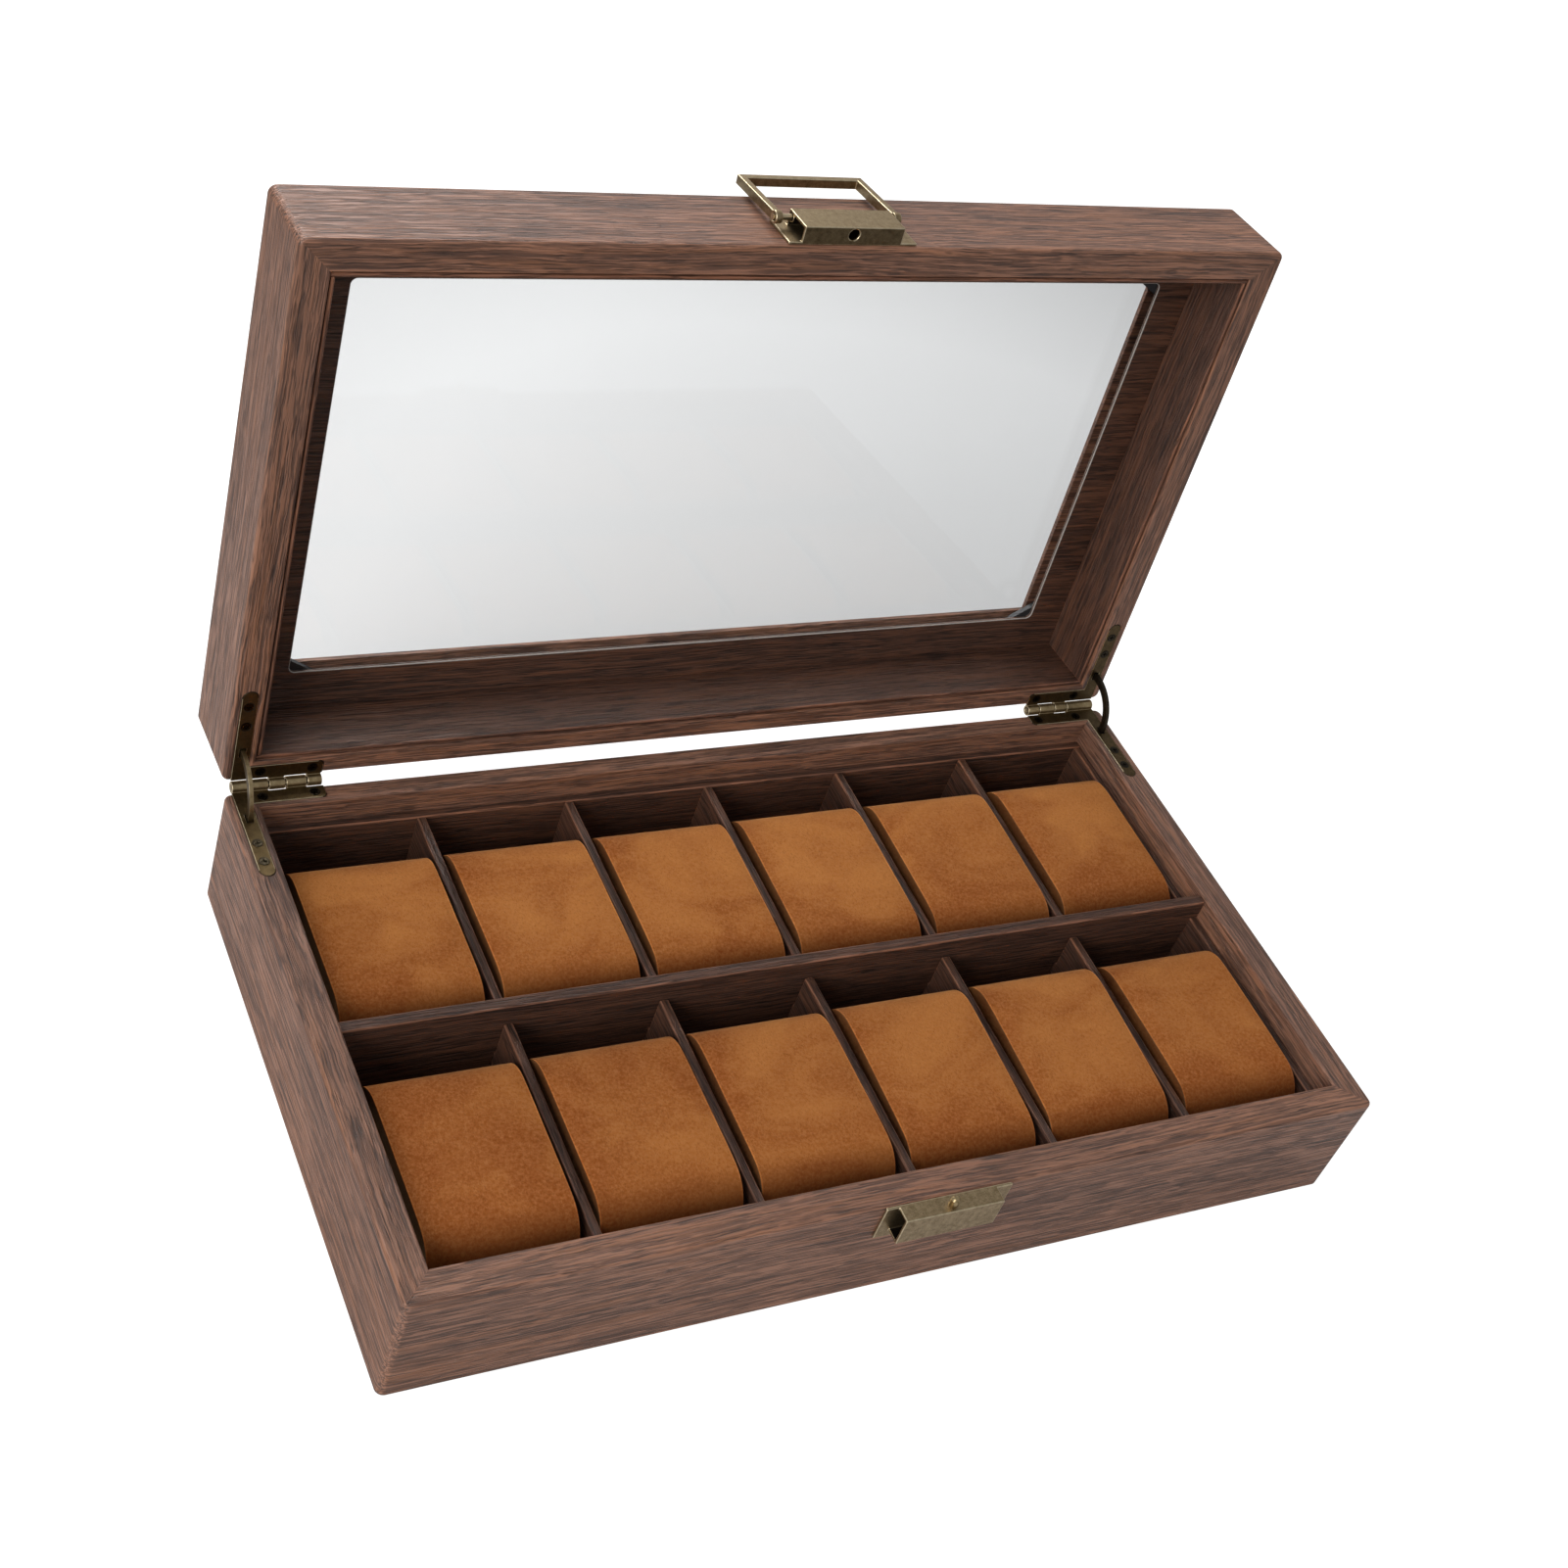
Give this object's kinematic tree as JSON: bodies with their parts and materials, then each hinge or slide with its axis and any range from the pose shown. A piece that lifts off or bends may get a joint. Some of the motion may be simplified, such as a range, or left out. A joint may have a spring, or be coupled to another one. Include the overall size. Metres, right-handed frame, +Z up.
{
  "type": "watch box",
  "caption": "Glass-lidded watch box with cushioned slots in two rows, walnut-grain leatherette, quadrant hinges with arc stays and a front loop clasp.",
  "frame": {"origin": "centre of the case's underside", "axes": "+X along the width, +Y toward the hinges, +Z up; the clasp is on the -Y face"},
  "size_m": [0.332, 0.2468, 0.2386],
  "materials": {
    "outer_leatherette": "walnut-grain embossed leatherette over board, matt",
    "inner_leatherette": "walnut-grain embossed leatherette over thin board, matt",
    "suede": "brushed tan suede",
    "antique_bronze": "antiqued, rubbed at the edges",
    "bright_brass": "polished",
    "glass": "clear",
    "felt": "felt",
    "black_pad": "matt"
  },
  "bodies": {
    "case": {"base_front": "outer_leatherette", "base_back": "outer_leatherette", "base_left": "outer_leatherette", "base_right": "outer_leatherette", "base_bottom": "inner_leatherette", "base_felt": "felt", "tray_floor": "inner_leatherette", "tray_front": "inner_leatherette", "tray_back": "inner_leatherette", "tray_left": "inner_leatherette", "tray_right": "inner_leatherette", "row_divider": "inner_leatherette", "column_divider_1": "inner_leatherette", "column_divider_2": "inner_leatherette", "column_divider_3": "inner_leatherette", "column_divider_4": "inner_leatherette", "column_divider_5": "inner_leatherette", "base_leaf_left": "antique_bronze", "base_leaf_right": "antique_bronze", "hinge_pin_left": "antique_bronze", "hinge_pin_right": "antique_bronze", "base_screws": "antique_bronze", "catch_body": "antique_bronze", "catch_pin": "bright_brass", "catch_tacks": "antique_bronze"},
    "lid": {"lid_front": "outer_leatherette", "lid_back": "outer_leatherette", "lid_left": "outer_leatherette", "lid_right": "outer_leatherette", "lid_top": "outer_leatherette", "lid_glass": "glass", "lid_inner_panel": "inner_leatherette", "liner_front": "inner_leatherette", "liner_back": "inner_leatherette", "liner_left": "inner_leatherette", "liner_right": "inner_leatherette", "lid_leaf_left": "antique_bronze", "lid_leaf_right": "antique_bronze", "lid_screws": "antique_bronze", "clasp_body": "antique_bronze", "clasp_axle": "antique_bronze", "clasp_tacks": "antique_bronze", "window_corner_pads": "black_pad"},
    "loop": {"clasp_loop": "antique_bronze"},
    "stay_l": {"stay_left": "antique_bronze"},
    "stay_r": {"stay_right": "antique_bronze"},
    "b_cushion_front_1": {"cushion_front_1": "suede"},
    "b_cushion_front_2": {"cushion_front_2": "suede"},
    "b_cushion_front_3": {"cushion_front_3": "suede"},
    "b_cushion_front_4": {"cushion_front_4": "suede"},
    "b_cushion_front_5": {"cushion_front_5": "suede"},
    "b_cushion_front_6": {"cushion_front_6": "suede"},
    "b_cushion_back_1": {"cushion_back_1": "suede"},
    "b_cushion_back_2": {"cushion_back_2": "suede"},
    "b_cushion_back_3": {"cushion_back_3": "suede"},
    "b_cushion_back_4": {"cushion_back_4": "suede"},
    "b_cushion_back_5": {"cushion_back_5": "suede"},
    "b_cushion_back_6": {"cushion_back_6": "suede"}
  },
  "joints": [
    {"name": "lid_hinge", "type": "hinge", "parent": "case", "child": "lid", "pos_m": [0, 0.09595, 0.0437], "axis": [-1, 0, 0], "range_deg": [-94.4, 0]},
    {"name": "loop_swing", "type": "hinge", "parent": "lid", "child": "loop", "pos_m": [-0.0002, 0.12128, 0.23602], "axis": [-1, 0, 0], "range_deg": [-183.25, 3]},
    {"name": "stay_l_turn", "type": "hinge", "parent": "case", "child": "stay_l", "pos_m": [0, 0.09595, 0.0437], "axis": [-1, 0, 0], "range_deg": [-47.2, 0]},
    {"name": "stay_r_turn", "type": "hinge", "parent": "case", "child": "stay_r", "pos_m": [0, 0.09595, 0.0437], "axis": [-1, 0, 0], "range_deg": [-47.2, 0]},
    {"name": "lift_cushion_front_1", "type": "slide", "parent": "case", "child": "b_cushion_front_1", "axis": [0, 0, 1], "range_m": [0, 0.045]},
    {"name": "lift_cushion_front_2", "type": "slide", "parent": "case", "child": "b_cushion_front_2", "axis": [0, 0, 1], "range_m": [0, 0.045]},
    {"name": "lift_cushion_front_3", "type": "slide", "parent": "case", "child": "b_cushion_front_3", "axis": [0, 0, 1], "range_m": [0, 0.045]},
    {"name": "lift_cushion_front_4", "type": "slide", "parent": "case", "child": "b_cushion_front_4", "axis": [0, 0, 1], "range_m": [0, 0.045]},
    {"name": "lift_cushion_front_5", "type": "slide", "parent": "case", "child": "b_cushion_front_5", "axis": [0, 0, 1], "range_m": [0, 0.045]},
    {"name": "lift_cushion_front_6", "type": "slide", "parent": "case", "child": "b_cushion_front_6", "axis": [0, 0, 1], "range_m": [0, 0.045]},
    {"name": "lift_cushion_back_1", "type": "slide", "parent": "case", "child": "b_cushion_back_1", "axis": [0, 0, 1], "range_m": [0, 0.045]},
    {"name": "lift_cushion_back_2", "type": "slide", "parent": "case", "child": "b_cushion_back_2", "axis": [0, 0, 1], "range_m": [0, 0.045]},
    {"name": "lift_cushion_back_3", "type": "slide", "parent": "case", "child": "b_cushion_back_3", "axis": [0, 0, 1], "range_m": [0, 0.045]},
    {"name": "lift_cushion_back_4", "type": "slide", "parent": "case", "child": "b_cushion_back_4", "axis": [0, 0, 1], "range_m": [0, 0.045]},
    {"name": "lift_cushion_back_5", "type": "slide", "parent": "case", "child": "b_cushion_back_5", "axis": [0, 0, 1], "range_m": [0, 0.045]},
    {"name": "lift_cushion_back_6", "type": "slide", "parent": "case", "child": "b_cushion_back_6", "axis": [0, 0, 1], "range_m": [0, 0.045]}
  ],
  "couplings": [
    {"joint": "stay_l_turn", "follows": "lid_hinge", "ratio": 0.5},
    {"joint": "stay_r_turn", "follows": "lid_hinge", "ratio": 0.5}
  ]
}
